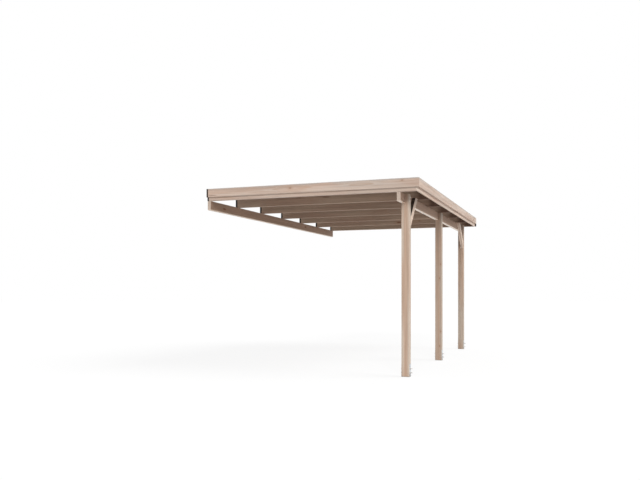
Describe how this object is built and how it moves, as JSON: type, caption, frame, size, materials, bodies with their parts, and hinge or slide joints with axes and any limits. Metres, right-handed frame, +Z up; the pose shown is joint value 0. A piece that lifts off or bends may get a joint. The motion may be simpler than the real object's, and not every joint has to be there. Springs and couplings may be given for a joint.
{
  "type": "lean-to carport",
  "caption": "Open timber carport with a flat roof, carried on one side by a beam on a wall and on the other by a row of braced posts on steel anchors.",
  "frame": {"origin": "middle of the wall beam's back face, where it lies on the wall, halfway along the carport", "axes": "+X out from the wall to the eave, +Y along the carport from front to rear, +Z up; the ground is at z = -2.170 m"},
  "size_m": [2.82, 4.96, 2.385],
  "materials": {
    "timber": "planed softwood, clear glazed, satin",
    "fascia_wood": "planed softwood boards, clear glazed, satin",
    "deck_wood": "tongued and grooved softwood, untreated, matt",
    "roofing_felt": "mineral-surfaced bitumen felt, matt",
    "galvanised_steel": "hot-dip galvanised, dull"
  },
  "bodies": {
    "root": {"wall_beam": "timber", "eave_beam": "timber", "front_post": "timber", "middle_post": "timber", "rear_post": "timber", "front_brace": "timber", "rear_brace": "timber", "rafter_1": "timber", "rafter_2": "timber", "rafter_3": "timber", "rafter_4": "timber", "rafter_5": "timber", "rafter_6": "timber", "rafter_7": "timber", "eave_board": "fascia_wood", "front_fascia": "fascia_wood", "eave_fascia": "fascia_wood", "rear_fascia": "fascia_wood", "roof_deck": "deck_wood", "roof_felt": "roofing_felt", "front_anchor": "galvanised_steel", "middle_anchor": "galvanised_steel", "rear_anchor": "galvanised_steel"}
  },
  "joints": []
}
